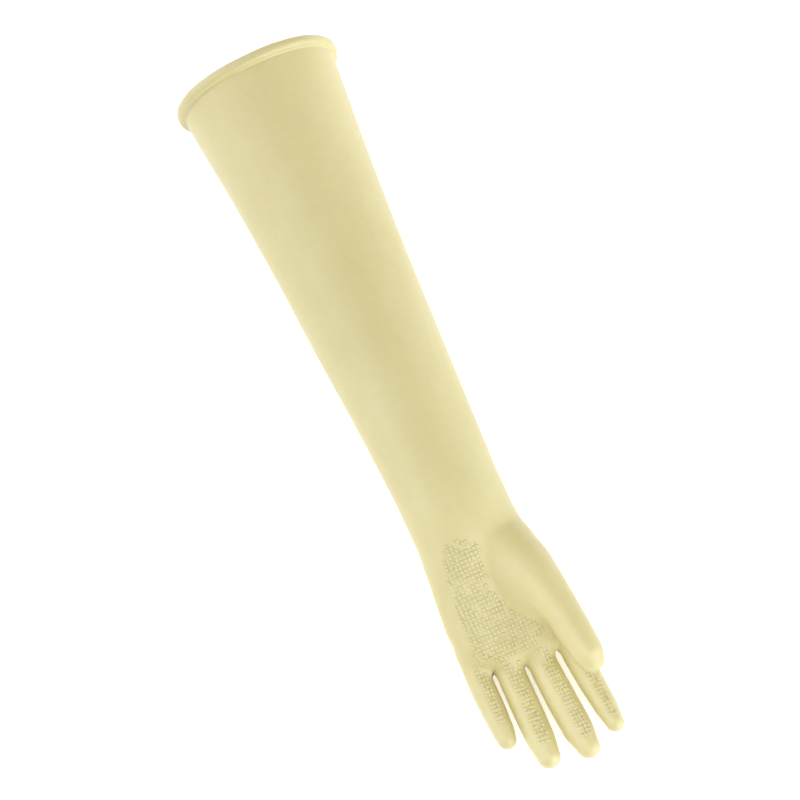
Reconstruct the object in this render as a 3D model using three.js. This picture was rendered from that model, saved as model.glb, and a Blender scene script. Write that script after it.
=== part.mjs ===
// A long moulded rubber glove for the left hand, lying on the back of its hand with the palm up.
// Sizes are in millimetres. +X runs to the fingertips, +Y to the thumb, +Z out of the palm.
// The form is drawn with X = 0 at the wrist. The finished shell is moved to stand on Z = 0 with
// its box centred on X and Y.

import * as THREE from 'three';

// Shell
const WALL = 1.4;
const MOUTH_X = -401.3;

// How far the mouth leans back for each millimetre across and forward for each millimetre up,
// fading out over a length of the sleeve
const MOUTH_SLANT = { across: 0.022, up: 0.05 };
const SLANT_LENGTH = 120;

// The palm's end, furthest forward at y and set back by curve times the squared distance from y
const PALM_END = { x: 103, y: -4, curve: 0.0145 };

// Rolled bead round the mouth: an oval section, how far its centre stands off the wall, and the
// hollow that leads from the sleeve up to it
const BEAD_HALF_LENGTH = 4.6;
const BEAD_HALF_THICKNESS = 3.6;
const BEAD_STAND_OFF = 1.4;
const BEAD_FIRST_ANGLE = 20;
const BEAD_LAST_ANGLE = 275;
const BEAD_RINGS = 9;
const HOLLOW_LENGTH = 3;
const HOLLOW_RINGS = 2;

// Sleeve and palm: sections across X, with the height of the palm side over the widest level and
// the depth of the back of the hand under it. A squareness of 2 is an ellipse.
const SECTIONS = [
  {
    x: -405, y: -7.2, z: 65.4, halfWidth: 66.4,
    palmSide: 60.2, backSide: 60.4, palmSquareness: 2.25, backSquareness: 2,
  },
  {
    x: -323, y: -6.4, z: 58.3, halfWidth: 58.3,
    palmSide: 54.5, backSide: 54.5, palmSquareness: 2, backSquareness: 2,
  },
  {
    x: -240, y: -5.5, z: 51.4, halfWidth: 52.3,
    palmSide: 47.9, backSide: 47.9, palmSquareness: 2, backSquareness: 2,
  },
  {
    x: -158, y: -4.5, z: 45.0, halfWidth: 47.5,
    palmSide: 42.2, backSide: 42.4, palmSquareness: 2.05, backSquareness: 2.3,
  },
  {
    x: -78, y: -3.4, z: 38.4, halfWidth: 43.3,
    palmSide: 37.0, backSide: 36.6, palmSquareness: 2.1, backSquareness: 2.9,
  },
  {
    x: -15, y: -3.1, z: 33.6, halfWidth: 41.0,
    palmSide: 33.4, backSide: 32.8, palmSquareness: 2.2, backSquareness: 3,
  },
  {
    x: 16, y: -2.4, z: 30.0, halfWidth: 43.5,
    palmSide: 27.5, backSide: 29.6, palmSquareness: 2.2, backSquareness: 3,
  },
  {
    x: 39, y: -2.0, z: 25.0, halfWidth: 46.3,
    palmSide: 20.0, backSide: 25.8, palmSquareness: 2.4, backSquareness: 2.6,
  },
  {
    x: 62, y: -2.4, z: 21.5, halfWidth: 47.8,
    palmSide: 17.5, backSide: 22.5, palmSquareness: 2.5, backSquareness: 2.5,
  },
  {
    x: 80, y: -2.6, z: 19.0, halfWidth: 48.5,
    palmSide: 16.5, backSide: 20.0, palmSquareness: 2.5, backSquareness: 2.5,
  },
  {
    x: 104, y: -3.0, z: 17.0, halfWidth: 48.9,
    palmSide: 15.5, backSide: 17.0, palmSquareness: 2.4, backSquareness: 2.4,
  },
];

// The sleeve alone lies behind this
const HAND_FROM_X = -30;

// Chains of round sections down the middle of each finger, thumb and pad
const FINGERS = [
  {
    name: 'little',
    rows: [
      { x: 80, y: -40.9, z: 17, radius: 10.6 },
      { x: 109, y: -42.3, z: 16.5, radius: 10.1 },
      { x: 130, y: -41.8, z: 18, radius: 9.7 },
      { x: 147, y: -41.5, z: 21, radius: 8.6 },
      { x: 153.6, y: -41.6, z: 22.5, radius: 7.2 },
    ],
  },
  {
    name: 'ring',
    rows: [
      { x: 96, y: -17.7, z: 17, radius: 11.3 },
      { x: 117, y: -17.9, z: 17, radius: 11.4 },
      { x: 142, y: -17.9, z: 18.5, radius: 11.6 },
      { x: 163, y: -17.7, z: 22, radius: 11.3 },
      { x: 178.2, y: -17.5, z: 25.5, radius: 9.1 },
    ],
  },
  {
    name: 'middle',
    rows: [
      { x: 96, y: 7.6, z: 17, radius: 11.4 },
      { x: 117, y: 8.2, z: 17, radius: 11.6 },
      { x: 142, y: 9.6, z: 18.5, radius: 12.1 },
      { x: 168, y: 11.6, z: 23, radius: 12.1 },
      { x: 183.6, y: 13.2, z: 27, radius: 9.1 },
    ],
  },
  {
    name: 'index',
    rows: [
      { x: 84, y: 33, z: 17.5, radius: 10.6 },
      { x: 117, y: 34.4, z: 17, radius: 10.4 },
      { x: 140, y: 36.4, z: 18.5, radius: 10.2 },
      { x: 162, y: 38.4, z: 22, radius: 9.1 },
      { x: 175.5, y: 39.5, z: 25, radius: 7.0 },
    ],
  },
];
const THUMB = [
  { x: 6, y: 16, z: 41, radius: 13.5 },
  { x: 22, y: 23.4, z: 40.5, radius: 18.8 },
  { x: 38, y: 28.5, z: 42, radius: 19.8 },
  { x: 54, y: 32, z: 44.5, radius: 17.9 },
  { x: 72, y: 36, z: 47, radius: 15.5 },
  { x: 92, y: 39, z: 49, radius: 14 },
  { x: 110, y: 41, z: 50, radius: 13.2 },
  { x: 120, y: 42.2, z: 50.5, radius: 12.4 },
  { x: 126.5, y: 42.6, z: 50.5, radius: 10 },
];
const THUMB_PAD = [
  { x: 22, y: 14, z: 36, radius: 18 },
  { x: 40, y: 17, z: 35, radius: 18 },
  { x: 56, y: 23, z: 34.5, radius: 15.5 },
  { x: 66, y: 27, z: 34.5, radius: 13.5 },
];
const OUTER_PAD = [
  { x: 12, y: -16, z: 33, radius: 20 },
  { x: 45, y: -20, z: 27, radius: 19 },
  { x: 75, y: -27, z: 21.8, radius: 15.5 },
];
const INDEX_PAD = [
  { x: 66, y: 20, z: 24, radius: 15 },
  { x: 78, y: 23, z: 22, radius: 17 },
  { x: 88, y: 24, z: 20, radius: 15 },
];

// How widely the forms run into one another
const PAD_BLEND = 14;
const THUMB_BLEND = 10;
const FINGER_BLEND = 9;
const FINGER_GAP_BLEND = 1.6;
const HALVES_BLEND = 2;
const PALM_END_BLEND = 12;

// Net of the shell: segments over a finger's palm side, and over its side or a web
const FACE_SEGMENTS = 4;
const SIDE_SEGMENTS = 3;
const SLEEVE_STEP = 15;
const HAND_STEP = 8;
const FINGER_STEP = 6;
const FIRST_RING_GAP = 2;
const THUMB_RINGS = 9;
const THUMB_HOLE = { firstX: 64, lastX: 96, segmentsAcross: 5 };

// The columns change from even spacing to the spacing of the fingers over this stretch
const SPREAD = { fromX: -20, length: 110, share: 0.97 };

// Share of a tip's radius past its last section at which the rings end and a patch closes it
const TIP_SHARE = 0.62;

// A fork's points keep this share of the height between the palm side and the back
const FORK_SHARE = 0.8;

// How far past the palm's end the parting of two fingers is read
const PARTING_AHEAD = 8;

// Search for the surface from the middle of a form: its stride, and how far it goes
const STRIDE = 0.8;
const TIP_REACH = 20;
const FORK_REACH = 60;
const THUMB_REACH = 1.6;

// Steps of the search for the slope and the surface
const SLOPE_STEP = 0.05;
const LEAST_STEEPNESS = 0.2;
const SETTLE_TURNS = 3;

// Evening out of the hand's net
const RELAX_ROUNDS = 40;
const RELAX_RATE = 0.45;
const RELAX_FROM_X = 4;

const SECTION_COLUMNS = Object.keys(SECTIONS[0]).filter((column) => column !== 'x');
const FACE_TOTAL = FINGERS.length * FACE_SEGMENTS;
const RING_COUNT = 2 * FACE_TOTAL + 2 * SIDE_SEGMENTS;
const FINGER_RING_COUNT = 2 * FACE_SEGMENTS + 2 * SIDE_SEGMENTS;

const AHEAD = new THREE.Vector3(1, 0, 0);
const RUBBER = new THREE.MeshStandardMaterial({ color: 0xdccf96, roughness: 0.45, metalness: 0 });

function mix(a, b, t) {
  return a + (b - a) * t;
}

function clamp01(t) {
  return Math.min(Math.max(t, 0), 1);
}

function smoothStep(t) {
  const s = clamp01(t);
  return s * s * (3 - 2 * s);
}

function blendedMin(a, b, width) {
  const h = Math.max(width - Math.abs(a - b), 0) / width;
  return Math.min(a, b) - (h * h * width) / 4;
}

function blendedMax(a, b, width) {
  return -blendedMin(-a, -b, width);
}

// A value of a table of rows at x, on a smooth curve through the rows
function valueAt(rows, column, x) {
  const last = rows.length - 1;
  if (x <= rows[0].x) return rows[0][column];
  if (x >= rows[last].x) return rows[last][column];
  let i = 0;
  while (x > rows[i + 1].x) i += 1;
  const slope = (k) => {
    const before = rows[Math.max(k - 1, 0)];
    const after = rows[Math.min(k + 1, last)];
    return (after[column] - before[column]) / (after.x - before.x);
  };
  const span = rows[i + 1].x - rows[i].x;
  const t = (x - rows[i].x) / span;
  const rise = rows[i + 1][column] - rows[i][column];
  const a = slope(i) * span - rise;
  const b = rise - slope(i + 1) * span;
  return mix(rows[i][column], rows[i + 1][column], t) + t * (1 - t) * (a * (1 - t) + b * t);
}

function sectionAt(x) {
  const section = { x };
  for (const column of SECTION_COLUMNS) section[column] = valueAt(SECTIONS, column, x);
  return section;
}

function palmEndX(y) {
  return PALM_END.x - PALM_END.curve * (y - PALM_END.y) ** 2;
}

// Distances from the surface of each form, below zero inside it
function bodyDistance(x, y, z) {
  const s = sectionAt(x);
  const onPalmSide = z > s.z;
  const halfHeight = onPalmSide ? s.palmSide : s.backSide;
  const power = onPalmSide ? s.palmSquareness : s.backSquareness;
  const across = Math.abs(y - s.y);
  const up = Math.abs(z - s.z);
  const out = Math.hypot(across, up);
  const share = ((across / s.halfWidth) ** power + (up / halfHeight) ** power) ** (1 / power);
  const nearAxis = out < WALL;
  const toWall = nearAxis ? -Math.min(s.halfWidth, halfHeight) : out - out / share;
  return blendedMax(toWall, x - palmEndX(y), PALM_END_BLEND);
}

function chainDistance(rows, x, y, z) {
  let nearest = Infinity;
  for (let i = 0; i + 1 < rows.length; i += 1) {
    const a = rows[i];
    const b = rows[i + 1];
    const [dx, dy, dz] = [b.x - a.x, b.y - a.y, b.z - a.z];
    const along = (x - a.x) * dx + (y - a.y) * dy + (z - a.z) * dz;
    const t = clamp01(along / (dx * dx + dy * dy + dz * dz));
    const reach = Math.hypot(x - a.x - dx * t, y - a.y - dy * t, z - a.z - dz * t);
    nearest = Math.min(nearest, reach - mix(a.radius, b.radius, t));
  }
  return nearest;
}

// The whole form, with a flat stretch at Z = 0 where the back of the hand rests
function gloveDistance(x, y, z) {
  const body = bodyDistance(x, y, z);
  if (x < HAND_FROM_X) return body;
  const heel = blendedMin(body, chainDistance(OUTER_PAD, x, y, z), PAD_BLEND);
  const palm = blendedMin(heel, chainDistance(INDEX_PAD, x, y, z), PAD_BLEND);
  const thumbPad = chainDistance(THUMB_PAD, x, y, z);
  const thumb = blendedMin(chainDistance(THUMB, x, y, z), thumbPad, PAD_BLEND);
  const withThumb = blendedMin(palm, thumb, THUMB_BLEND);
  let fingers = Infinity;
  for (const finger of FINGERS) {
    fingers = blendedMin(fingers, chainDistance(finger.rows, x, y, z), FINGER_GAP_BLEND);
  }
  const withFingers = blendedMin(palm, fingers, FINGER_BLEND);
  const whole = blendedMin(withThumb, withFingers, HALVES_BLEND);
  return Math.max(whole, -z);
}

// Slope of the distance, which points straight out of the surface
function outward(p) {
  const step = SLOPE_STEP;
  const slope = new THREE.Vector3(
    gloveDistance(p.x + step, p.y, p.z) - gloveDistance(p.x - step, p.y, p.z),
    gloveDistance(p.x, p.y + step, p.z) - gloveDistance(p.x, p.y - step, p.z),
    gloveDistance(p.x, p.y, p.z + step) - gloveDistance(p.x, p.y, p.z - step),
  );
  return slope.divideScalar(2 * step);
}

// Brings a point near the surface onto it
function settle(p) {
  for (let turn = 0; turn < SETTLE_TURNS; turn += 1) {
    const slope = outward(p);
    const steepness = Math.max(slope.lengthSq(), LEAST_STEEPNESS);
    p.addScaledVector(slope, -gloveDistance(p.x, p.y, p.z) / steepness);
  }
  return p;
}

// The first way out of the form from a point inside it
function wayOut(from, direction, farthest) {
  const ahead = direction.clone().normalize();
  let far = STRIDE;
  while (far < farthest) {
    const probe = from.clone().addScaledVector(ahead, far);
    if (gloveDistance(probe.x, probe.y, probe.z) > 0) break;
    far += STRIDE;
  }
  return settle(from.clone().addScaledVector(ahead, far - STRIDE / 2));
}

// The net is a list of points and a list of four-sided faces wound to face out. The points in the
// forks between the fingers hold their places when it is evened out.
const points = [];
const faces = [];
const forkPoints = new Set();

function addPoint(p) {
  points.push(p);
  return points.length - 1;
}

function bridge(lower, upper) {
  for (let j = 0; j < lower.length; j += 1) {
    const next = (j + 1) % lower.length;
    faces.push([lower[j], upper[j], upper[next], lower[next]]);
  }
}

function stations(from, to, step) {
  const count = Math.max(Math.round((to - from) / step), 1);
  return Array.from({ length: count + 1 }, (_, i) => mix(from, to, i / count));
}

function nearestPlace(values, wanted) {
  const gaps = values.map((value) => Math.abs(value - wanted));
  return gaps.indexOf(Math.min(...gaps));
}

// Where the fingers part, counted from the little finger's outer side to the index finger's
function partingY(x, index) {
  const sides = FINGERS.map(({ rows }) => {
    const y = valueAt(rows, 'y', x);
    const radius = valueAt(rows, 'radius', x);
    return { low: y - radius, high: y + radius };
  });
  if (index === 0) return sides[0].low;
  if (index === FINGERS.length) return sides[index - 1].high;
  return (sides[index - 1].high + sides[index].low) / 2;
}

// Share of the half width at which a column of a ring lies, even on the sleeve and set by the
// fingers at the end of the palm
function ringShare(x, column) {
  const even = Math.cos(Math.PI - ((SIDE_SEGMENTS / 2 + column) * 2 * Math.PI) / RING_COUNT);
  const finger = Math.min(Math.floor(column / FACE_SEGMENTS), FINGERS.length - 1);
  const part = column / FACE_SEGMENTS - finger;
  const y = mix(partingY(PALM_END.x, finger), partingY(PALM_END.x, finger + 1), part);
  const end = sectionAt(PALM_END.x);
  const spread = (SPREAD.share * (y - end.y)) / end.halfWidth;
  return mix(even, spread, smoothStep((x - SPREAD.fromX) / SPREAD.length));
}

// Way from the middle of a section to point j of its ring, which runs over the palm side, down
// the thumb's side, back under the hand and up the little finger's side
function ringDirection(section, j) {
  const backColumn = 2 * FACE_TOTAL + SIDE_SEGMENTS - j;
  const onPalm = j <= FACE_TOTAL;
  const onBack = backColumn >= 0 && backColumn <= FACE_TOTAL;
  if (onPalm || onBack) {
    const share = ringShare(section.x, onPalm ? j : backColumn);
    const rise = Math.sqrt(Math.max(1 - share * share, 0));
    const height = onPalm ? section.palmSide : -section.backSide;
    return new THREE.Vector3(0, share * section.halfWidth, rise * height);
  }
  const onThumbSide = j < FACE_TOTAL + SIDE_SEGMENTS;
  const step = onThumbSide ? j - FACE_TOTAL : RING_COUNT - j;
  const corner = Math.abs(ringShare(section.x, onThumbSide ? FACE_TOTAL : 0));
  const turn = Math.acos(corner) * (1 - (2 * step) / SIDE_SEGMENTS);
  const height = turn > 0 ? section.palmSide : section.backSide;
  const across = Math.cos(turn) * section.halfWidth;
  return new THREE.Vector3(0, onThumbSide ? across : -across, Math.sin(turn) * height);
}

function bodyRing(x) {
  const section = sectionAt(x);
  const centre = new THREE.Vector3(x, section.y, section.z);
  const slant = 1 - smoothStep((x - MOUTH_X) / SLANT_LENGTH);
  const ring = [];
  for (let j = 0; j < RING_COUNT; j += 1) {
    const p = wayOut(centre, ringDirection(section, j), 2 * section.halfWidth);
    const lean = MOUTH_SLANT.up * (p.z - section.z) - MOUTH_SLANT.across * (p.y - section.y);
    p.x += slant * lean;
    ring.push(addPoint(settle(p)));
  }
  return ring;
}

function chainCentre(rows, x) {
  const last = rows[rows.length - 1];
  const at = Math.min(x, last.x);
  return new THREE.Vector3(x, valueAt(rows, 'y', at), valueAt(rows, 'z', at));
}

// A patch of rows and columns that closes the tip whose last ring runs round its edge
function capPatch(ring, rowCount, columnCount) {
  const grid = Array.from({ length: rowCount + 1 }, () => new Array(columnCount + 1).fill(-1));
  const edge = [];
  for (let c = 0; c < columnCount; c += 1) edge.push([0, c]);
  for (let r = 0; r < rowCount; r += 1) edge.push([r, columnCount]);
  for (let c = columnCount; c > 0; c -= 1) edge.push([rowCount, c]);
  for (let r = rowCount; r > 0; r -= 1) edge.push([r, 0]);
  edge.forEach(([r, c], k) => {
    grid[r][c] = ring[k];
  });
  for (let r = 1; r < rowCount; r += 1) {
    for (let c = 1; c < columnCount; c += 1) {
      const left = points[grid[r][0]];
      const right = points[grid[r][columnCount]];
      const top = points[grid[0][c]];
      const bottom = points[grid[rowCount][c]];
      const across = left.clone().lerp(right, c / columnCount);
      const down = top.clone().lerp(bottom, r / rowCount);
      grid[r][c] = addPoint(wayOut(across.lerp(down, 0.5), AHEAD, TIP_REACH));
    }
  }
  for (let r = 0; r < rowCount; r += 1) {
    for (let c = 0; c < columnCount; c += 1) {
      faces.push([grid[r][c], grid[r + 1][c], grid[r + 1][c + 1], grid[r][c + 1]]);
    }
  }
}

// One finger from the parting ring to its closed tip
function finger(index, rootRing) {
  const { rows } = FINGERS[index];
  const last = rows[rows.length - 1];
  const start = Math.max(...rootRing.map((k) => points[k].x)) + FIRST_RING_GAP;
  const end = last.x + last.radius * TIP_SHARE;
  let below = rootRing;
  for (const x of stations(start, end, FINGER_STEP)) {
    const centre = chainCentre(rows, x);
    const ring = [];
    for (let j = 0; j < FINGER_RING_COUNT; j += 1) {
      const turn = Math.PI - ((SIDE_SEGMENTS / 2 + j) * 2 * Math.PI) / FINGER_RING_COUNT;
      const direction = new THREE.Vector3(0, Math.cos(turn), Math.sin(turn));
      ring.push(addPoint(wayOut(centre, direction, 2 * last.radius + FINGER_STEP)));
    }
    bridge(below, ring);
    below = ring;
  }
  capPatch(below, SIDE_SEGMENTS, FACE_SEGMENTS);
}

// The line of points down the fork between two fingers, from the palm side to the back
function forkLine(y, palmPoint, backPoint) {
  const line = [palmPoint];
  for (let s = 1; s < SIDE_SEGMENTS; s += 1) {
    const share = mix(0.5, s / SIDE_SEGMENTS, FORK_SHARE);
    const z = mix(points[palmPoint].z, points[backPoint].z, share);
    const from = new THREE.Vector3(palmEndX(y) - PALM_END_BLEND, y, z);
    const fork = wayOut(from, AHEAD, FORK_REACH);
    forkPoints.add(fork);
    line.push(addPoint(fork));
  }
  line.push(backPoint);
  return line;
}

// The four fingers, each from a ring shared out of the palm's last ring and the fork lines
function fingers(end) {
  const backPoint = (column) => end[2 * FACE_TOTAL + SIDE_SEGMENTS - column];
  const littleSide = [end[0]];
  for (let s = 1; s <= SIDE_SEGMENTS; s += 1) littleSide.push(end[RING_COUNT - s]);
  const sides = [littleSide];
  for (let f = 1; f < FINGERS.length; f += 1) {
    const column = f * FACE_SEGMENTS;
    const y = partingY(PALM_END.x + PARTING_AHEAD, f);
    sides.push(forkLine(y, end[column], backPoint(column)));
  }
  sides.push(end.slice(FACE_TOTAL, FACE_TOTAL + SIDE_SEGMENTS + 1));
  for (let f = 0; f < FINGERS.length; f += 1) {
    const first = f * FACE_SEGMENTS;
    const palmRow = end.slice(first, first + FACE_SEGMENTS);
    const thumbSide = sides[f + 1].slice(0, SIDE_SEGMENTS);
    const backRow = [];
    for (let c = first + FACE_SEGMENTS; c > first; c -= 1) backRow.push(backPoint(c));
    const otherSide = sides[f].slice(1).reverse();
    finger(f, [...palmRow, ...thumbSide, ...backRow, ...otherSide]);
  }
}

// The thumb, from the rim of the hole left for it in the palm side
function thumb(rings, hole) {
  const { firstRow, lastRow, firstColumn, lastColumn } = hole;
  const rim = [];
  for (let j = firstColumn; j < lastColumn; j += 1) rim.push(rings[firstRow][j]);
  for (let i = firstRow; i < lastRow; i += 1) rim.push(rings[i][lastColumn]);
  for (let j = lastColumn; j > firstColumn; j -= 1) rim.push(rings[lastRow][j]);
  for (let i = lastRow; i > firstRow; i -= 1) rim.push(rings[i][firstColumn]);
  const last = THUMB[THUMB.length - 1];
  const endX = last.x + last.radius * TIP_SHARE;
  const half = (lastColumn - firstColumn) / 2;
  let below = rim;
  for (let k = 1; k <= THUMB_RINGS; k += 1) {
    const ring = rim.map((start, m) => {
      const x = mix(points[start].x, endX, k / THUMB_RINGS);
      const turn = Math.PI / 2 - ((m - half) * 2 * Math.PI) / rim.length;
      const direction = new THREE.Vector3(0, Math.cos(turn), Math.sin(turn));
      const farthest = THUMB_REACH * valueAt(THUMB, 'radius', x);
      return addPoint(wayOut(chainCentre(THUMB, x), direction, farthest));
    });
    bridge(below, ring);
    below = ring;
  }
  capPatch(below, lastRow - firstRow, lastColumn - firstColumn);
}

// The net of the outer surface. Returns the ring at the mouth.
function outerNet() {
  const sleeveX = stations(MOUTH_X, 0, SLEEVE_STEP);
  const handX = stations(0, PALM_END.x, HAND_STEP).slice(1);
  const allX = [...sleeveX, ...handX];
  const rings = allX.map(bodyRing);
  const hole = {
    firstRow: nearestPlace(allX, THUMB_HOLE.firstX),
    lastRow: nearestPlace(allX, THUMB_HOLE.lastX),
    firstColumn: FACE_TOTAL - THUMB_HOLE.segmentsAcross,
    lastColumn: FACE_TOTAL,
  };
  for (let i = 0; i + 1 < rings.length; i += 1) {
    for (let j = 0; j < RING_COUNT; j += 1) {
      const inRows = i >= hole.firstRow && i < hole.lastRow;
      const inColumns = j >= hole.firstColumn && j < hole.lastColumn;
      const next = (j + 1) % RING_COUNT;
      if (!(inRows && inColumns)) {
        faces.push([rings[i][j], rings[i + 1][j], rings[i + 1][next], rings[i][next]]);
      }
    }
  }
  thumb(rings, hole);
  fingers(rings[rings.length - 1]);
  return rings[0];
}

// Takes out the points under the thumb's root, which no face uses
function dropLoosePoints() {
  const used = [...new Set(faces.flat())].sort((a, b) => a - b);
  const kept = used.map((k) => points[k]);
  const places = new Map(used.map((k, place) => [k, place]));
  points.splice(0, points.length, ...kept);
  for (const face of faces) {
    face.forEach((k, i) => {
      face[i] = places.get(k);
    });
  }
}

// Evens out the net of the hand while its points stay on the form
function relax() {
  const neighbours = points.map(() => new Set());
  for (const face of faces) {
    face.forEach((k, i) => {
      neighbours[k].add(face[(i + 1) % face.length]);
      neighbours[k].add(face[(i + face.length - 1) % face.length]);
    });
  }
  for (let round = 0; round < RELAX_ROUNDS; round += 1) {
    const moves = points.map((p, k) => {
      if (p.x < RELAX_FROM_X || forkPoints.has(p)) return null;
      const middle = new THREE.Vector3();
      for (const n of neighbours[k]) middle.add(points[n]);
      const move = middle.divideScalar(neighbours[k].size).sub(p);
      const normal = outward(p).normalize();
      return move.addScaledVector(normal, -move.dot(normal)).multiplyScalar(RELAX_RATE);
    });
    moves.forEach((move, k) => {
      if (move) settle(points[k].add(move));
    });
  }
}

// The inner net, one wall further in than the outer one
function addInnerNet() {
  const outerFaces = faces.slice();
  const inner = [...points].map((p) => {
    const inward = outward(p).normalize().negate();
    return addPoint(p.clone().addScaledVector(inward, WALL));
  });
  for (const [a, b, c, d] of outerFaces) {
    faces.push([inner[d], inner[c], inner[b], inner[a]]);
  }
  return inner;
}

// The bead's section from the outer rim round to the inner one, as steps back from the rim and
// heights over it
function beadSection() {
  const firstTurn = THREE.MathUtils.degToRad(BEAD_FIRST_ANGLE);
  const onOval = (degrees) => {
    const turn = THREE.MathUtils.degToRad(degrees);
    return {
      back: HOLLOW_LENGTH + BEAD_HALF_LENGTH * (Math.cos(firstTurn) - Math.cos(turn)),
      height: BEAD_STAND_OFF + BEAD_HALF_THICKNESS * Math.sin(turn),
    };
  };
  const first = onOval(BEAD_FIRST_ANGLE);
  const section = [];
  for (let k = 1; k <= HOLLOW_RINGS; k += 1) {
    const turn = (k / (HOLLOW_RINGS + 1)) * (Math.PI / 2);
    section.push({
      back: first.back * Math.sin(turn),
      height: first.height * (1 - Math.cos(turn)),
    });
  }
  for (let k = 0; k < BEAD_RINGS; k += 1) {
    section.push(onOval(mix(BEAD_FIRST_ANGLE, BEAD_LAST_ANGLE, k / (BEAD_RINGS - 1))));
  }
  return section;
}

// The bead, rolled outwards from the outer rim to the inner one
function addBead(mouth, inner) {
  let below = mouth;
  for (const { back, height } of beadSection()) {
    const ring = mouth.map((rim) => {
      const side = outward(points[rim]).setX(0).normalize();
      const p = points[rim].clone().addScaledVector(side, height);
      p.x -= back;
      return addPoint(p);
    });
    bridge(ring, below);
    below = ring;
  }
  bridge(mouth.map((rim) => inner[rim]), below);
}

function shellGeometry() {
  const mouth = outerNet();
  dropLoosePoints();
  relax();
  const inner = addInnerNet();
  addBead(mouth, inner);
  const box = new THREE.Box3().setFromPoints(points);
  const middle = box.getCenter(new THREE.Vector3());
  const positions = points.flatMap((p) => [p.x - middle.x, p.y - middle.y, p.z - box.min.z]);
  const indices = faces.flatMap(([a, b, c, d]) => [a, b, c, a, c, d]);
  const geometry = new THREE.BufferGeometry();
  geometry.setAttribute('position', new THREE.Float32BufferAttribute(positions, 3));
  geometry.setIndex(indices);
  geometry.computeVertexNormals();
  return geometry;
}

const glove = new THREE.Mesh(shellGeometry(), RUBBER);
glove.name = 'glove';

const group = new THREE.Group();
group.add(glove);

export default group;
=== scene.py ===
"""A long moulded natural rubber glove, finished around its solid. Lengths are in metres."""

import math

import bmesh
import bpy
import numpy as np
from bpy.props import FloatProperty, FloatVectorProperty, IntProperty, PointerProperty
from mathutils import Matrix, Vector, noise


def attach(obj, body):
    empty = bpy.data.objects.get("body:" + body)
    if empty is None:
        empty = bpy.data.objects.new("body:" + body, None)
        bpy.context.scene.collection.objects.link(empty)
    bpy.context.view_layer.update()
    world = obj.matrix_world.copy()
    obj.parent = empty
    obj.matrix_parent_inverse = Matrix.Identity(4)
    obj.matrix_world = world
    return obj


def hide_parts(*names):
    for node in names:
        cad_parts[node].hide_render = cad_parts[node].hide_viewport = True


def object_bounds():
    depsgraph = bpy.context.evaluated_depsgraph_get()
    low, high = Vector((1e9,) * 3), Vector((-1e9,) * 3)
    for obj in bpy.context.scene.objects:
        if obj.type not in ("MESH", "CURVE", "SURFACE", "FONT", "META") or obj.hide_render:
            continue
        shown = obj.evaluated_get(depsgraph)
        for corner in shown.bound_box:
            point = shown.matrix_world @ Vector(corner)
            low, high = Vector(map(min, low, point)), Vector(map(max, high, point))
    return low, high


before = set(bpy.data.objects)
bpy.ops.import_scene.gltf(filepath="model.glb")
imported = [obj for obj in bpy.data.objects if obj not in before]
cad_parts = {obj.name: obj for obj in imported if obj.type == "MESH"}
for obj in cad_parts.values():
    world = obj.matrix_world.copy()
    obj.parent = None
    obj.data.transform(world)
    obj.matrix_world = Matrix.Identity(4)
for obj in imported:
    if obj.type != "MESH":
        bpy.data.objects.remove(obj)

bl_info = {
    "name": "Long Rubber Glove",
    "version": (1, 0, 0),
    "blender": (4, 5, 0),
    "location": "View3D > Sidebar > Glove",
    "description": "Finishes a long moulded rubber glove around its solid",
    "category": "Object",
}

CAD_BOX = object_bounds()
MM = 0.001

# Points of the solid closer than this are one point
MERGE_GAP = 0.001 * MM
# Two triangles are joined into a four-sided face if they lie within the first angle of flat and
# the face's corners within the second of square
JOIN_FLATNESS = math.radians(60)
JOIN_SQUARENESS = math.radians(75)

# The sleeve's waviness, in shares of the glove's length: where it sets in behind the bead and over
# how long, and where it ends before the wrist and over how long it fades. The sleeve's middle is
# lower towards the wrist, and wall that lies on the floor keeps still
RIPPLE_START = 0.02
RIPPLE_RISE = 0.05
RIPPLE_END = 0.62
RIPPLE_FADE = 0.12
SLEEVE_MIDDLE_AT_MOUTH = 66 * MM
SLEEVE_MIDDLE_DROP = 48 * MM
RIPPLE_FREE_HEIGHT = 8 * MM

# How far off the finger's wall the search for the wall starts, and how far it goes
CAST_GAP = 4 * MM
CAST_LENGTH = 30 * MM

# A pad's form, in shares of its sizes: its corners are drawn in, its inner points are spread, its
# edge is sunk in the wall by a share of its foot, and its top falls off by a power
PAD_POINTS = 4
PAD_SPREAD = 1.225
PAD_SPREAD_FALL = 0.9
PAD_CORNER_CUT = 0.12
PAD_CORNER_POWER = 4.0
PAD_CROWN_POWER = 3.0
PAD_SUNK_SHARE = 0.04
# The share of a finger's own curve that its pads follow
PAD_BEND_SHARE = 0.5

# The palm's grip: how far it reaches to the little finger's side and to the thumb's at each place
# along the hand, and the height from which the wall is sought, in millimetres
PALM_GRIP_X = (115, 120, 136, 148, 158, 166, 174, 182, 188, 194, 200, 205, 209)
PALM_GRIP_LITTLE_SIDE = (-16, -22, -26, -28, -29, -29, -29.5, -30, -31, -32, -32, -29, -14)
PALM_GRIP_THUMB_SIDE = (-4, 7, 6, 3, 3, 5, 9, 14, 21, 27, 31, 31, 12)
PALM_GRIP_CAST_FROM = (72, 70, 65, 61, 58, 56, 52, 49, 47, 45, 43, 42, 41)
# The columns of pads that the palm has room for, counted from the middle
PALM_GRIP_COLUMNS = range(-12, 13)

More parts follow.
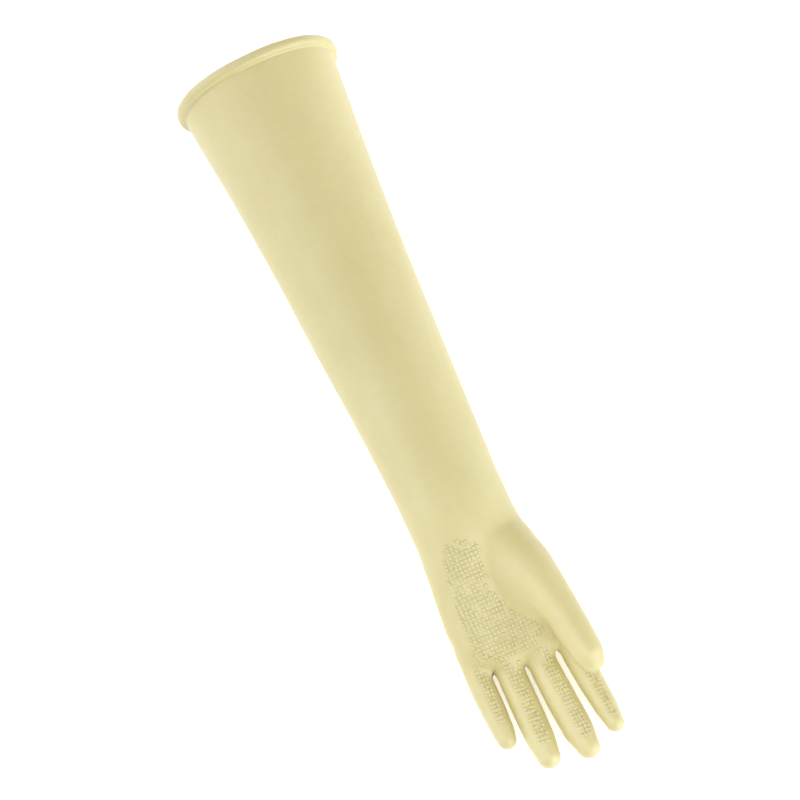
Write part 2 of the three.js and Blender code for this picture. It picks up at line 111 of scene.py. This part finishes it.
# The grip of each finger: the line down its middle from root to tip, how far round its surface
# lies, and the turn towards the thumb at which the grip starts and ends
FINGER_GRIPS = {
    "little": {
        "root": (207, -34.8, 17.0),
        "tip": (252, -34.5, 21.5),
        "radius": 9.8,
        "turns": (2, 46),
    },
    "ring": {
        "root": (213, -10.7, 17.0),
        "tip": (281, -10.7, 24.0),
        "radius": 11.6,
        "turns": (-8, 46),
    },
    "middle": {
        "root": (212, 14.6, 17.0),
        "tip": (290, 19.6, 25.0),
        "radius": 12.0,
        "turns": (0, 52),
    },
    "index": {
        "root": (218, 40.9, 17.5),
        "tip": (284, 46.2, 24.0),
        "radius": 9.6,
        "turns": (0, 50),
    },
}

# The two broad soft lights of the room: the way to each, as degrees from the fingertips towards
# the thumb and degrees over the horizon, and how many degrees it reaches to each side
ROOM_LIGHTS = {
    "front": {"turn": 44, "rise": 5, "reach": 61},
    "back": {"turn": 236, "rise": 34, "reach": 56},
}
# The small light over the fingers, in metres
HAND_LIGHT_PLACE = (0.30, 0.0, 0.28)
HAND_LIGHT_TARGET = (0.25, 0.0, 0.02)
HAND_LIGHT_SIZE = 0.2
FLOOR_HALF = 100.0
FLOOR_DROP = 0.2 * MM
SENSOR_WIDTH = 36

# The rubber's marks: the scale of each kind of noise, its detail and its stretch
RUBBER_CLOUDS = {
    "pools": (16.0, 3.0, (1, 1, 1)),
    "runs": (9.0, 4.0, (0.35, 4.0, 4.0)),
    "mottle": (140.0, 3.0, (1, 1, 1)),
    "grain": (1100.0, 2.0, (1, 1, 1)),
    "specks": (420.0, 1.0, (1, 1, 1)),
}
# How much of each mark goes into the deeper tone, the roughness and the bumps
DEPTH_WEIGHTS = {"pools": 1.1, "runs": 0.9, "mottle": 0.5}
ROUGHNESS_WEIGHTS = {"mottle": 0.16, "runs": 0.10}
BUMP_WEIGHTS = {"runs": 0.8, "mottle": 0.35, "grain": 0.10}
BUMP_STRENGTH = 0.35
BUMP_DISTANCE = 0.35 * MM
SPECK_LEVEL = 0.16
SPECK_SHARPNESS = 9.0
SPECK_STRENGTH = 0.25
SPECK_TINT = (0.86, 0.80, 0.66)
RUBBER_IOR = 1.52
RUBBER_SPECULAR = 0.95
# How far each colour of the light strays inside the rubber
GLOW_RADIUS = (1.0, 0.72, 0.34)
GLOW_SCALE = 2.2 * MM


class GloveSkinSettings(bpy.types.PropertyGroup):
    """Sizes of the rubber wall"""

    smoothing: IntProperty(
        name="Smoothing",
        description="Rounds of smoothing between the points of the wall",
        default=2,
        min=1,
        max=2,
    )
    ripple_height: FloatProperty(
        name="Ripple Height",
        description="How far the soft wall strays in and out along the sleeve",
        default=0.45 * MM,
        subtype="DISTANCE",
        unit="LENGTH",
    )
    ripple_length: FloatProperty(
        name="Ripple Length",
        description="Distance between two soft hollows of the wall",
        default=70 * MM,
        subtype="DISTANCE",
        unit="LENGTH",
    )


class GloveGripSettings(bpy.types.PropertyGroup):
    """Sizes of the raised grip"""

    pitch: FloatProperty(
        name="Pitch",
        description="Distance from one pad of the grip to the next",
        default=3.2 * MM,
        subtype="DISTANCE",
        unit="LENGTH",
    )
    pad_length: FloatProperty(
        name="Pad Length",
        description="Length of one raised pad along the hand",
        default=3.1 * MM,
        subtype="DISTANCE",
        unit="LENGTH",
    )
    pad_width: FloatProperty(
        name="Pad Width",
        description="Width of one raised pad across the hand",
        default=2.7 * MM,
        subtype="DISTANCE",
        unit="LENGTH",
    )
    pad_height: FloatProperty(
        name="Pad Height",
        description="Height of a pad's middle over the wall",
        default=0.18 * MM,
        subtype="DISTANCE",
        unit="LENGTH",
    )
    pad_foot: FloatProperty(
        name="Pad Foot",
        description="Depth to which a pad is rooted in the wall",
        default=0.5 * MM,
        subtype="DISTANCE",
        unit="LENGTH",
    )


class GloveRubberSettings(bpy.types.PropertyGroup):
    """Colours and finish of the rubber"""

    colour: FloatVectorProperty(
        name="Colour",
        description="Pale cream-yellow of the dipped rubber",
        default=(0.70, 0.637, 0.329),
        subtype="COLOR",
        min=0,
        max=1,
    )
    deep_colour: FloatVectorProperty(
        name="Deep Colour",
        description="Yellower tone where the rubber ran thicker",
        default=(0.64, 0.563, 0.255),
        subtype="COLOR",
        min=0,
        max=1,
    )
    roughness: FloatProperty(
        name="Roughness",
        description="Roughness of the satin surface",
        default=0.37,
        min=0,
        max=1,
        subtype="FACTOR",
    )
    glow: FloatProperty(
        name="Glow",
        description="Share of the light that passes through the rubber",
        default=0.35,
        min=0,
        max=1,
        subtype="FACTOR",
    )


class GloveStageSettings(bpy.types.PropertyGroup):
    """Floor, light and camera"""

    floor_colour: FloatVectorProperty(
        name="Floor Colour",
        description="Near white of the floor",
        default=(0.93, 0.93, 0.93),
        subtype="COLOR",
        min=0,
        max=1,
    )
    floor_glow: FloatProperty(
        name="Floor Glow",
        description="Light that the floor gives of its own",
        default=0.42,
        min=0,
    )
    room_light: FloatProperty(
        name="Room Light",
        description="Strength of the even light from all over the room",
        default=0.30,
        min=0,
    )
    front_light: FloatProperty(
        name="Front Light",
        description="Strength of the broad light beyond the thumb and the fingertips",
        default=2.85,
        min=0,
    )
    back_light: FloatProperty(
        name="Back Light",
        description="Strength of the broad light beyond the little finger's side and the mouth",
        default=1.8,
        min=0,
    )
    hand_power: FloatProperty(
        name="Hand Power",
        description="Power of the small soft light over the fingers",
        default=0.16,
        unit="POWER",
    )
    camera_target: FloatVectorProperty(
        name="Camera Target",
        description="Point that the middle of the picture looks at",
        default=(-11.9 * MM, -1.0 * MM, 40 * MM),
        subtype="XYZ",
        unit="LENGTH",
    )
    camera_distance: FloatProperty(
        name="Camera Distance",
        description="Distance of the camera from its target",
        default=1.7,
        subtype="DISTANCE",
        unit="LENGTH",
    )
    camera_tilt: FloatProperty(
        name="Camera Tilt",
        description="Lean of the camera from overhead towards the fingertips",
        default=math.radians(14.5),
        subtype="ANGLE",
    )
    camera_roll: FloatProperty(
        name="Camera Roll",
        description="Turn of the glove's length below the picture's right-hand side",
        default=math.radians(65.5),
        subtype="ANGLE",
    )
    lens: FloatProperty(
        name="Lens",
        description="Focal length of the camera in millimetres",
        default=96.2,
        min=1,
    )


class Value:
    """A socket of a shader or geometry tree, for sums written as expressions"""

    def __init__(self, tree, socket):
        self.tree = tree
        self.socket = socket

    def _math(self, operation, *operands):
        node = self.tree.nodes.new("ShaderNodeMath")
        node.operation = operation
        for place, operand in enumerate(operands):
            plug(self.tree, node.inputs[place], operand)
        return Value(self.tree, node.outputs[0])

    def __add__(self, other):
        return self._math("ADD", self, other)

    def __radd__(self, other):
        return self._math("ADD", other, self)

    def __sub__(self, other):
        return self._math("SUBTRACT", self, other)

    def __rsub__(self, other):
        return self._math("SUBTRACT", other, self)

    def __mul__(self, other):
        return self._math("MULTIPLY", self, other)

    def __rmul__(self, other):
        return self._math("MULTIPLY", other, self)

    def __truediv__(self, other):
        return self._math("DIVIDE", self, other)

    def __pow__(self, other):
        return self._math("POWER", self, other)

    def absolute(self):
        return self._math("ABSOLUTE", self)

    def clamped(self):
        node = self.tree.nodes.new("ShaderNodeClamp")
        plug(self.tree, node.inputs["Value"], self)
        return Value(self.tree, node.outputs[0])


def plug(tree, socket, value):
    """Links a socket to a value, or sets it to a plain number, vector or data-block"""
    if isinstance(value, Value):
        tree.links.new(value.socket, socket)
    else:
        socket.default_value = value


class Tree:
    """A node tree and the one way in which its nodes are added"""

    def __init__(self, tree):
        self.tree = tree
        self.tree.nodes.clear()

    def add(self, kind, settings=None, inputs=None):
        node = self.tree.nodes.new(kind)
        for name, setting in (settings or {}).items():
            setattr(node, name, setting)
        for name, value in (inputs or {}).items():
            plug(self.tree, node.inputs[name], value)
        return node

    def value(self, node, output=0):
        return Value(self.tree, node.outputs[output])


def share(value):
    """A number held between nought and one"""
    return min(1.0, max(0.0, value))


def new_object(name, data):
    """A new object of the scene at the origin"""
    made = bpy.data.objects.new(name, data)
    bpy.context.scene.collection.objects.link(made)
    return made


def colour4(colour):
    """A colour with its alpha"""
    return (*colour, 1.0)


def rubber(name, glow):
    """Satin natural rubber that a little light passes through, with faint flow marks and grain"""
    if name in bpy.data.materials:
        return bpy.data.materials[name]
    settings = bpy.context.scene.glove_rubber
    material = bpy.data.materials.new(name)
    material.use_nodes = True
    tree = Tree(material.node_tree)
    place = tree.value(tree.add("ShaderNodeTexCoord"), "Object")

    def clouds(kind):
        """Noise of one kind, centred on nought"""
        scale, detail, stretch = RUBBER_CLOUDS[kind]
        mapped = tree.add(
            "ShaderNodeMapping", {"vector_type": "POINT"}, {"Vector": place, "Scale": stretch}
        )
        node = tree.add(
            "ShaderNodeTexNoise",
            {"noise_dimensions": "3D"},
            {"Vector": tree.value(mapped), "Scale": scale, "Detail": detail, "Roughness": 0.5},
        )
        return tree.value(node, "Fac") - 0.5

    marks = {kind: clouds(kind) for kind in RUBBER_CLOUDS}

    def mixed(weights):
        """The marks added up by their weights"""
        return sum(marks[kind] * weight for kind, weight in weights.items())

    depth = (mixed(DEPTH_WEIGHTS) + 0.5).clamped()
    speck = ((marks["specks"] - SPECK_LEVEL) * SPECK_SHARPNESS).clamped()
    tone = tree.add(
        "ShaderNodeMix",
        {"data_type": "RGBA", "blend_type": "MIX"},
        {
            "Factor": depth,
            "A": colour4(settings.colour),
            "B": colour4(settings.deep_colour),
        },
    )
    speckled = tree.add(
        "ShaderNodeMix",
        {"data_type": "RGBA", "blend_type": "MULTIPLY"},
        {
            "Factor": speck * SPECK_STRENGTH,
            "A": tree.value(tone, "Result"),
            "B": colour4(SPECK_TINT),
        },
    )
    bump = tree.add(
        "ShaderNodeBump",
        None,
        {"Strength": BUMP_STRENGTH, "Distance": BUMP_DISTANCE, "Height": mixed(BUMP_WEIGHTS)},
    )
    shader = tree.add(
        "ShaderNodeBsdfPrincipled",
        {"subsurface_method": "RANDOM_WALK"},
        {
            "Base Color": tree.value(speckled, "Result"),
            "Roughness": mixed(ROUGHNESS_WEIGHTS) + settings.roughness,
            "Normal": tree.value(bump),
            "IOR": RUBBER_IOR,
            "Subsurface Weight": glow,
            "Subsurface Radius": GLOW_RADIUS,
            "Subsurface Scale": GLOW_SCALE,
            "Specular IOR Level": RUBBER_SPECULAR,
        },
    )
    output = tree.add("ShaderNodeOutputMaterial")
    tree.tree.links.new(shader.outputs[0], output.inputs["Surface"])
    return material


def merged_copy(node, name):
    """A copy of a solid's mesh with its triangles joined into one net of four-sided faces"""
    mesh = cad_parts[node].data.copy()
    mesh.name = name
    mesh.materials.clear()
    net = bmesh.new()
    net.from_mesh(mesh)
    bmesh.ops.remove_doubles(net, verts=net.verts, dist=MERGE_GAP)
    bmesh.ops.join_triangles(
        net,
        faces=net.faces,
        angle_face_threshold=JOIN_FLATNESS,
        angle_shape_threshold=JOIN_SQUARENESS,
    )
    for face in net.faces:
        face.smooth = True
    net.to_mesh(mesh)
    net.free()
    return mesh


def hold_points(mesh, rounds=6):
    """Moves a net's points so that its smoothed surface passes through where they were"""
    count = len(mesh.vertices)
    wanted = np.empty(count * 3)
    mesh.vertices.foreach_get("co", wanted)
    wanted = wanted.reshape(-1, 3)
    edges = np.array([edge.vertices[:] for edge in mesh.edges])
    corners = []
    for polygon in mesh.polygons:
        around = list(polygon.vertices)
        for k, vertex in enumerate(around):
            corners.append((vertex, around[(k + len(around) // 2) % len(around)]))
    corners = np.array(corners)
    valence = np.zeros(count)
    np.add.at(valence, edges.ravel(), 1)
    placed = wanted.copy()
    n = valence[:, None]
    for _ in range(rounds):
        beside = np.zeros((count, 3))
        np.add.at(beside, edges[:, 0], placed[edges[:, 1]])
        np.add.at(beside, edges[:, 1], placed[edges[:, 0]])
        across = np.zeros((count, 3))
        np.add.at(across, corners[:, 0], placed[corners[:, 1]])
        smoothed = (n * n * placed + 4 * beside + across) / (n * (n + 5))
        placed += wanted - smoothed
    mesh.vertices.foreach_set("co", placed.ravel())
    mesh.update()


def plain_mesh(made, name):
    """The object's finished shape as a plain mesh, with its modifiers taken off"""
    graph = bpy.context.evaluated_depsgraph_get()
    graph.update()
    mesh = bpy.data.meshes.new_from_object(made.evaluated_get(graph))
    mesh.name = name
    old = made.data
    made.modifiers.clear()
    made.data = mesh
    bpy.data.meshes.remove(old)
    return mesh


class GLOVE_OT_skin(bpy.types.Operator):
    """Makes the smooth rubber wall, with the inside and the rolled bead"""

    bl_idname = "glove.skin"
    bl_label = "Rubber Wall"

    def execute(self, context):
        settings = context.scene.glove_skin
        mesh = merged_copy("glove", "glove_skin")
        hold_points(mesh)
        skin = new_object("glove_skin", mesh)
        smoothing = skin.modifiers.new("smoothing", "SUBSURF")
        smoothing.levels = settings.smoothing
        smoothing.render_levels = settings.smoothing
        mesh = plain_mesh(skin, "glove_skin")
        self.ripple(mesh, settings)
        mesh.materials.clear()
        mesh.materials.append(rubber("natural rubber", context.scene.glove_rubber.glow))
        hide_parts("glove")
        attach(skin, "root")
        return {"FINISHED"}

    def ripple(self, mesh, settings):
        """Soft hollows and swells of the sleeve, the same on both faces of the wall

        The wall's underside, which smoothing lets sag a little, is set back on the floor first."""
        low, high = CAD_BOX
        for vertex in mesh.vertices:
            vertex.co.z = max(vertex.co.z, low.z)
            place = vertex.co
            along = (place.x - low.x) / (high.x - low.x)
            loose = share((along - RIPPLE_START) / RIPPLE_RISE)
            loose *= share((RIPPLE_END - along) / RIPPLE_FADE)
            if loose <= 0:
                continue
            soft = noise.noise(place / settings.ripple_length)
            middle = SLEEVE_MIDDLE_AT_MOUTH - SLEEVE_MIDDLE_DROP * along
            out = (place - Vector((place.x, 0.0, middle))).normalized()
            lift = share(place.z / RIPPLE_FREE_HEIGHT)
            vertex.co = place + out * (soft * settings.ripple_height * loose * lift)
        mesh.update()


def palm_places(pitch):
    """Places of the pads on the palm, each with the way down to the wall"""
    places = []
    count = int((PALM_GRIP_X[-1] - PALM_GRIP_X[0]) * MM / pitch)
    for row in range(count + 1):
        x = PALM_GRIP_X[0] + row * pitch / MM
        low = np.interp(x, PALM_GRIP_X, PALM_GRIP_LITTLE_SIDE)
        high = np.interp(x, PALM_GRIP_X, PALM_GRIP_THUMB_SIDE)
        z = np.interp(x, PALM_GRIP_X, PALM_GRIP_CAST_FROM)
        for column in PALM_GRIP_COLUMNS:
            y = column * pitch / MM
            if low <= y <= high:
                places.append((Vector((x, y, z)) * MM, Vector((0, 0, -1))))
    return places


def finger_places(grip, pitch):
    """Places of the pads round one finger, each with the way in to its middle"""
    root = Vector(grip["root"]) * MM
    tip = Vector(grip["tip"]) * MM
    radius = grip["radius"] * MM
    ahead = (tip - root).normalized()
    up = Vector((0, 0, 1))
    side = up.cross(ahead).normalized()
    up = ahead.cross(side)
    first, last = (math.radians(turn) for turn in grip["turns"])
    columns = int((last - first) * radius / pitch)
    rows = int((tip - root).length / pitch)
    places = []
    for row in range(rows + 1):
        for column in range(columns + 1):
            turn = first + column * pitch / radius
            out = up * math.cos(turn) + side * math.sin(turn)
            centre = root + ahead * (row * pitch)
            places.append((centre + out * (radius + CAST_GAP), -out))
    return places


def places_mesh(name, places, ahead):
    """Loose points with the direction to the wall and the direction of the rows"""
    mesh = bpy.data.meshes.new(name)
    mesh.from_pydata([place for place, _ in places], [], [])
    inward = mesh.attributes.new("inward", "FLOAT_VECTOR", "POINT")
    inward.data.foreach_set("vector", [part for _, way in places for part in way])
    rows = mesh.attributes.new("rows", "FLOAT_VECTOR", "POINT")
    rows.data.foreach_set("vector", list(ahead) * len(places))
    return mesh


def grip_tree():
    """A tree that sets a rounded pad on the wall at each point"""
    group = bpy.data.node_groups.new("grip pads", "GeometryNodeTree")
    sockets = {
        "Places": "NodeSocketGeometry",
        "Wall": "NodeSocketObject",
        "Pad Length": "NodeSocketFloat",
        "Pad Width": "NodeSocketFloat",
        "Pad Height": "NodeSocketFloat",
        "Pad Foot": "NodeSocketFloat",
        "Pad Bend": "NodeSocketFloat",
        "Rubber": "NodeSocketMaterial",
    }
    for name, kind in sockets.items():
        group.interface.new_socket(name, in_out="INPUT", socket_type=kind)
    group.interface.new_socket("Pads", in_out="OUTPUT", socket_type="NodeSocketGeometry")
    tree = Tree(group)
    given = tree.add("NodeGroupInput")
    length = tree.value(given, "Pad Length")
    width = tree.value(given, "Pad Width")
    height = tree.value(given, "Pad Height")
    foot = tree.value(given, "Pad Foot")
    bend = tree.value(given, "Pad Bend")

    wall = tree.add("GeometryNodeObjectInfo", {"transform_space": "ORIGINAL"})
    tree.tree.links.new(given.outputs["Wall"], wall.inputs["Object"])
    inward, rows = (
        tree.add("GeometryNodeInputNamedAttribute", {"data_type": "FLOAT_VECTOR"}, {"Name": name})
        for name in ("inward", "rows")
    )
    place = tree.add("GeometryNodeInputPosition")
    facing = tree.add("GeometryNodeInputNormal")
    even = tree.add(
        "GeometryNodeFieldOnDomain",
        {"data_type": "FLOAT_VECTOR", "domain": "POINT"},
        {"Value": tree.value(facing)},
    )
    cast = tree.add(
        "GeometryNodeRaycast",
        {"data_type": "FLOAT_VECTOR", "mapping": "INTERPOLATED"},
        {
            "Target Geometry": tree.value(wall, "Geometry"),
            "Attribute": tree.value(even),
            "Source Position": tree.value(place),
            "Ray Direction": tree.value(inward),
            "Ray Length": CAST_LENGTH,
        },
    )
    turned = tree.add(
        "FunctionNodeAxesToRotation",
        {"primary_axis": "Z", "secondary_axis": "X"},
        {
            "Primary Axis": tree.value(cast, "Attribute"),
            "Secondary Axis": tree.value(rows),
        },
    )
    landed = tree.add(
        "GeometryNodeSetPosition",
        None,
        {
            "Geometry": tree.value(given, "Places"),
            "Position": tree.value(cast, "Hit Position"),
        },
    )

    block = tree.add(
        "GeometryNodeMeshCube",
        None,
        {
            "Size": (1.0, 1.0, 1.0),
            "Vertices X": PAD_POINTS,
            "Vertices Y": PAD_POINTS,
            "Vertices Z": 2,
        },
    )
    corner = tree.add("GeometryNodeInputPosition")
    apart = tree.add("ShaderNodeSeparateXYZ", None, {"Vector": tree.value(corner)})
    x = tree.value(apart, "X")
    y = tree.value(apart, "Y")
    z = tree.value(apart, "Z")
    crown = 1.0 - (x * 2.0).absolute() ** PAD_CROWN_POWER
    crown = crown * (1.0 - (y * 2.0).absolute() ** PAD_CROWN_POWER)
    corner_cut = 1.0 - (x * y * 4.0).absolute() ** PAD_CORNER_POWER * PAD_CORNER_CUT
    upper = z + 0.5
    sunk = foot * PAD_SUNK_SHARE
    level = upper * (crown * (height + sunk) - sunk) - (1.0 - upper) * foot
    along = x * (PAD_SPREAD - x * x * PAD_SPREAD_FALL) * corner_cut * length
    across = y * (PAD_SPREAD - y * y * PAD_SPREAD_FALL) * corner_cut * width
    shaped = tree.add(
        "ShaderNodeCombineXYZ",
        None,
        {"X": along, "Y": across, "Z": level - across * across * bend},
    )
    pad = tree.add(
        "GeometryNodeSetPosition",
        None,
        {"Geometry": tree.value(block, "Mesh"), "Position": tree.value(shaped)},
    )
    smooth = tree.add("GeometryNodeSetShadeSmooth", None, {"Geometry": tree.value(pad)})

    placed = tree.add(
        "GeometryNodeInstanceOnPoints",
        None,
        {
            "Points": tree.value(landed),
            "Selection": tree.value(cast, "Is Hit"),
            "Instance": tree.value(smooth),
            "Rotation": tree.value(turned),
        },
    )
    real = tree.add("GeometryNodeRealizeInstances", None, {"Geometry": tree.value(placed)})
    painted = tree.add("GeometryNodeSetMaterial", None, {"Geometry": tree.value(real)})
    tree.tree.links.new(given.outputs["Rubber"], painted.inputs["Material"])
    output = tree.add("NodeGroupOutput")
    tree.tree.links.new(painted.outputs[0], output.inputs["Pads"])
    return group


def set_inputs(modifier, values):
    """Sets a modifier's inputs by their sockets' identifiers"""
    for item in modifier.node_group.interface.items_tree:
        if item.item_type == "SOCKET" and item.in_out == "INPUT" and item.name in values:
            modifier[item.identifier] = values[item.name]


class GLOVE_OT_grip(bpy.types.Operator):
    """Sets the raised pads of the grip on the palm and the fingers"""

    bl_idname = "glove.grip"
    bl_label = "Grip"

    def execute(self, context):
        settings = context.scene.glove_grip
        skin = bpy.data.objects.get("glove_skin")
        if skin is None:
            raise RuntimeError("the rubber wall is made first")
        layouts = {"grip_palm": (palm_places(settings.pitch), Vector((1, 0, 0)), 0.0)}
        for name, grip in FINGER_GRIPS.items():
            ahead = (Vector(grip["tip"]) - Vector(grip["root"])).normalized()
            bend = PAD_BEND_SHARE / (2 * grip["radius"] * MM)
            layouts["grip_" + name] = (finger_places(grip, settings.pitch), ahead, bend)
        group = grip_tree()
        for name, (places, ahead, bend) in layouts.items():
            pads = new_object(name, places_mesh(name, places, ahead))
            modifier = pads.modifiers.new("pads", "NODES")
            modifier.node_group = group
            set_inputs(
                modifier,
                {
                    "Wall": skin,
                    "Pad Length": settings.pad_length,
                    "Pad Width": settings.pad_width,
                    "Pad Height": settings.pad_height,
                    "Pad Foot": settings.pad_foot,
                    "Pad Bend": bend,
                    "Rubber": rubber("grip rubber", 0.0),
                },
            )
            mesh = plain_mesh(pads, name)
            if not mesh.polygons:
                raise RuntimeError(f"no pads landed on the wall for {name}")
            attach(pads, "root")
        return {"FINISHED"}


def floor_paint(colour, glow):
    """Matt paint of the floor, with a little light of its own"""
    material = bpy.data.materials.new("pale floor")
    material.use_nodes = True
    tree = Tree(material.node_tree)
    shader = tree.add(
        "ShaderNodeBsdfPrincipled",
        None,
        {
            "Base Color": colour4(colour),
            "Roughness": 0.9,
            "Specular IOR Level": 0.1,
            "Emission Color": colour4(colour),
            "Emission Strength": glow,
        },
    )
    output = tree.add("ShaderNodeOutputMaterial")
    tree.tree.links.new(shader.outputs[0], output.inputs["Surface"])
    return material


class GLOVE_OT_stage(bpy.types.Operator):
    """Sets out the pale floor, the soft lights and the camera"""

    bl_idname = "glove.stage"
    bl_label = "Stage"

    def execute(self, context):
        settings = context.scene.glove_stage
        self.floor(settings)
        self.lights(settings)
        self.camera(settings)
        context.scene.view_settings.view_transform = "Standard"
        context.scene.view_settings.look = "None"
        return {"FINISHED"}

    def floor(self, settings):
        """A plain floor just under the glove"""
        mesh = bpy.data.meshes.new("floor")
        corners = [
            (x * FLOOR_HALF, y * FLOOR_HALF, -FLOOR_DROP)
            for x, y in ((-1, -1), (1, -1), (1, 1), (-1, 1))
        ]
        mesh.from_pydata(corners, [], [(0, 1, 2, 3)])
        mesh.materials.append(floor_paint(settings.floor_colour, settings.floor_glow))
        new_object("floor", mesh)

    def lights(self, settings):
        """The even light of the room, its two broad lights and the small one over the fingers"""
        world = bpy.data.worlds.new("soft room")
        world.use_nodes = True
        tree = Tree(world.node_tree)
        direction = tree.value(tree.add("ShaderNodeTexCoord"), "Generated")
        level = settings.room_light
        strengths = {"front": settings.front_light, "back": settings.back_light}
        for name, light in ROOM_LIGHTS.items():
            turn, rise, reach = (math.radians(light[key]) for key in ("turn", "rise", "reach"))
            flat = math.cos(rise)
            middle = (math.cos(turn) * flat, math.sin(turn) * flat, math.sin(rise))
            facing = tree.add(
                "ShaderNodeVectorMath",
                {"operation": "DOT_PRODUCT"},
                {0: direction, 1: middle},
            )
            edge = math.cos(reach)
            nearness = (tree.value(facing, "Value") - edge) / (1 - edge)
            level = level + nearness.clamped() * strengths[name]
        background = tree.add("ShaderNodeBackground", None, {"Color": level, "Strength": 1.0})
        output = tree.add("ShaderNodeOutputWorld")
        tree.tree.links.new(background.outputs[0], output.inputs["Surface"])
        bpy.context.scene.world = world
        lamp = bpy.data.lights.new("hand light", "AREA")
        lamp.energy = settings.hand_power
        lamp.size = HAND_LIGHT_SIZE
        made = new_object("hand light", lamp)
        made.location = HAND_LIGHT_PLACE
        way = Vector(HAND_LIGHT_TARGET) - made.location
        made.rotation_euler = way.to_track_quat("-Z", "Y").to_euler()
        made.visible_camera = False

    def camera(self, settings):
        """The camera over the glove, leaning to the fingertips and turned about its own axis"""
        tilt, roll = settings.camera_tilt, settings.camera_roll
        back = Vector((math.sin(tilt), 0, math.cos(tilt)))
        along = Vector((math.cos(tilt), 0, -math.sin(tilt)))
        across = Vector((0, 1, 0))
        right = along * math.cos(roll) + across * math.sin(roll)
        up = across * math.cos(roll) - along * math.sin(roll)
        lens = bpy.data.cameras.new("camera")
        lens.lens = settings.lens
        lens.sensor_width = SENSOR_WIDTH
        camera = new_object("camera", lens)
        turn = Matrix((right, up, back)).transposed().to_4x4()
        place = Vector(settings.camera_target) + back * settings.camera_distance
        camera.matrix_world = Matrix.Translation(place) @ turn
        bpy.context.scene.camera = camera


class GLOVE_PT_panel(bpy.types.Panel):
    """Lists the glove's pieces with their sizes and colours"""

    bl_label = "Long Rubber Glove"
    bl_idname = "GLOVE_PT_panel"
    bl_space_type = "VIEW_3D"
    bl_region_type = "UI"
    bl_category = "Glove"

    def draw(self, context):
        parts = (
            ("glove_skin", "glove.skin"),
            ("glove_grip", "glove.grip"),
            ("glove_rubber", None),
            ("glove_stage", "glove.stage"),
        )
        for group_name, operator in parts:
            box = self.layout.box()
            group = getattr(context.scene, group_name)
            for name in group.__annotations__:
                box.prop(group, name)
            if operator:
                box.operator(operator)


GROUPS = {
    "glove_skin": GloveSkinSettings,
    "glove_grip": GloveGripSettings,
    "glove_rubber": GloveRubberSettings,
    "glove_stage": GloveStageSettings,
}
OPERATORS = (GLOVE_OT_skin, GLOVE_OT_grip, GLOVE_OT_stage)


def register():
    for name, group in GROUPS.items():
        bpy.utils.register_class(group)
        setattr(bpy.types.Scene, name, PointerProperty(type=group))
    for operator in OPERATORS:
        bpy.utils.register_class(operator)
    bpy.utils.register_class(GLOVE_PT_panel)


def unregister():
    bpy.utils.unregister_class(GLOVE_PT_panel)
    for operator in reversed(OPERATORS):
        bpy.utils.unregister_class(operator)
    for name, group in reversed(GROUPS.items()):
        delattr(bpy.types.Scene, name)
        bpy.utils.unregister_class(group)


def main():
    register()
    bpy.ops.glove.stage()
    bpy.ops.glove.skin()
    bpy.ops.glove.grip()


if __name__ == "__main__":
    main()
